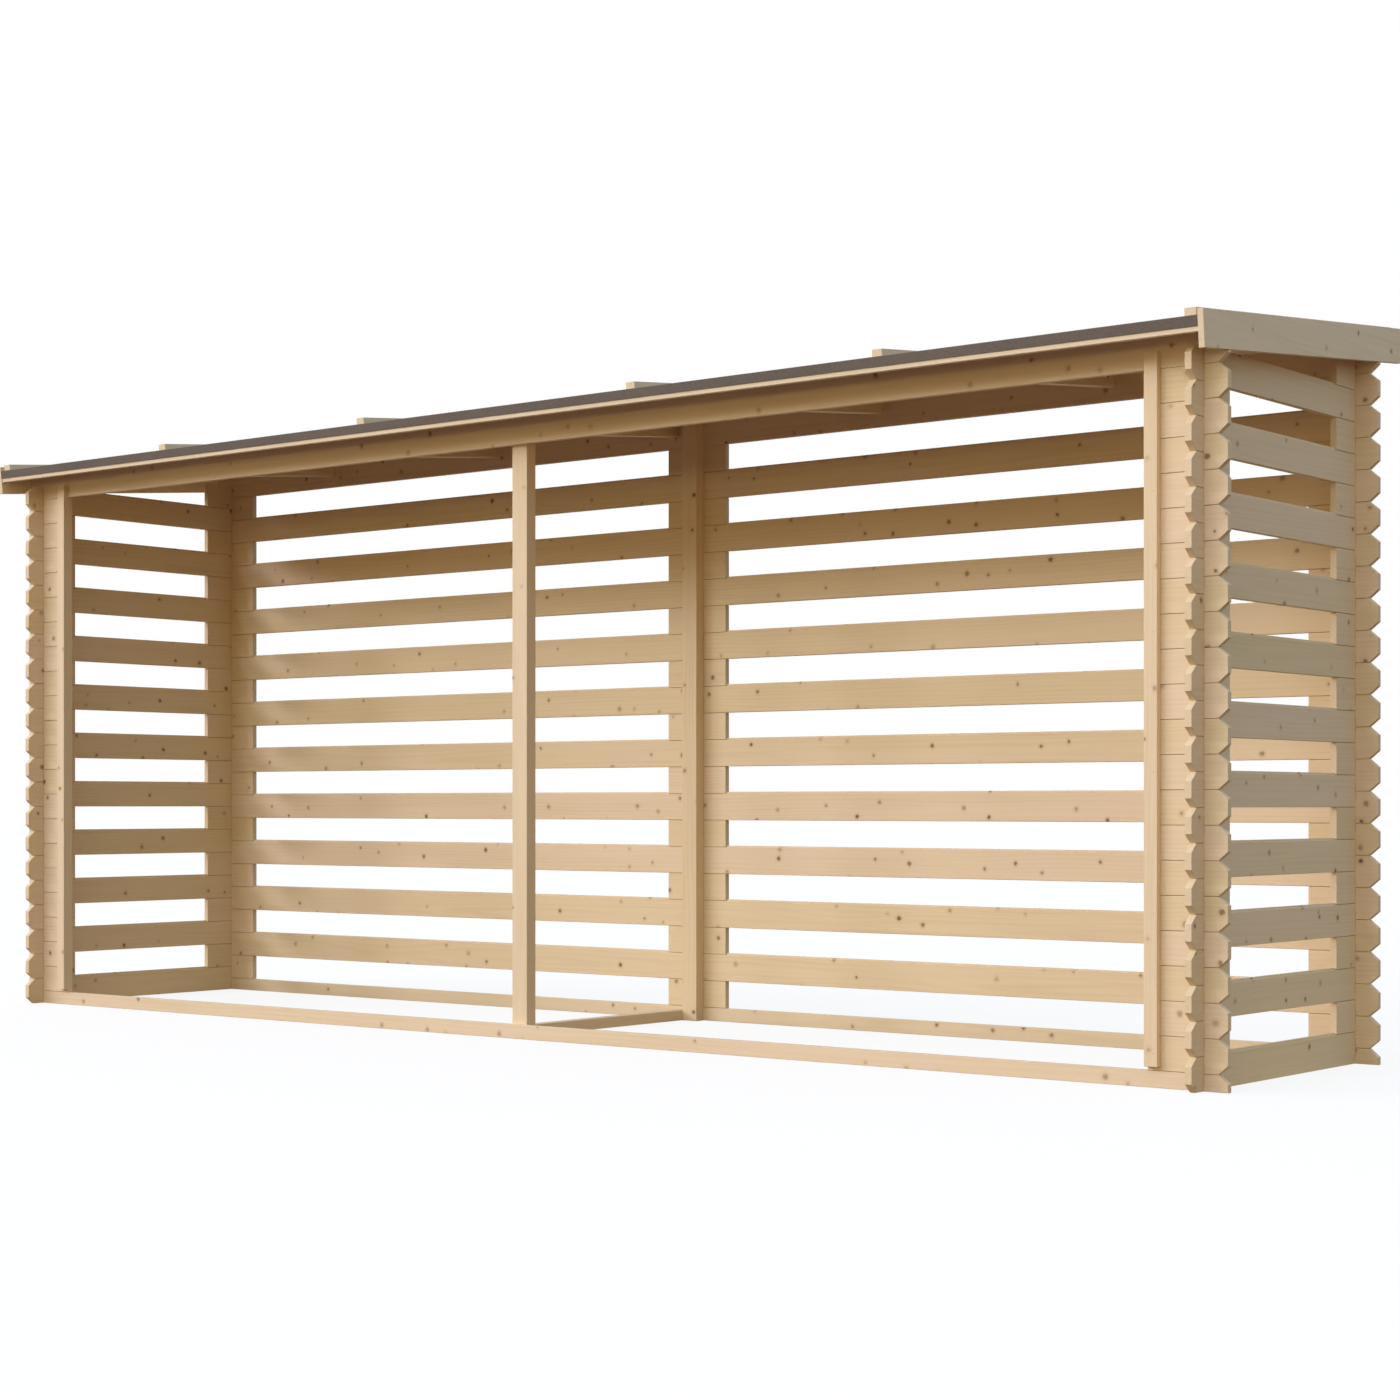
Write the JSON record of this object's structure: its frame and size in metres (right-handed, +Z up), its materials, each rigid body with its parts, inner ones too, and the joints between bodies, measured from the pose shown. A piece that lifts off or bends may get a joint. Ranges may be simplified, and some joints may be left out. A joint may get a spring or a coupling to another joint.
{
  "type": "log store",
  "caption": "Long open-fronted timber log store with slatted, corner-notched board walls, a mid post and a felted low-pitch roof, for stacking and drying firewood.",
  "frame": {"origin": "on the ground at the middle of the overall box", "axes": "+X to the right along the open front, +Y from the front to the back, +Z up"},
  "size_m": [4.762, 1.17, 2.0346],
  "materials": {
    "wall_wood": "planed, untreated",
    "frame_wood": "planed, untreated",
    "roof_wood": "planed, untreated",
    "felt": "matt, mineral surfaced"
  },
  "bodies": {
    "root": {"front_sill": "wall_wood", "back_sill": "wall_wood", "centre_tie": "frame_wood", "left_wall_rails": "wall_wood", "left_front_blocks": "wall_wood", "left_back_blocks": "wall_wood", "right_wall_rails": "wall_wood", "right_front_blocks": "wall_wood", "right_back_blocks": "wall_wood", "front_left_stubs_odd": "wall_wood", "front_left_stubs_even": "wall_wood", "front_right_stubs_odd": "wall_wood", "front_right_stubs_even": "wall_wood", "back_wall_rails": "wall_wood", "back_left_blocks": "wall_wood", "back_middle_blocks": "wall_wood", "back_right_blocks": "wall_wood", "front_lintel": "wall_wood", "back_top_board": "wall_wood", "left_jamb": "frame_wood", "right_jamb": "frame_wood", "front_post": "frame_wood", "back_post": "frame_wood", "rafters": "frame_wood", "roof_deck": "roof_wood", "front_eave_lath": "roof_wood", "back_eave_lath": "roof_wood", "roof_felt": "felt", "left_bargeboard": "roof_wood", "right_bargeboard": "roof_wood", "roof_battens": "roof_wood"}
  },
  "joints": []
}
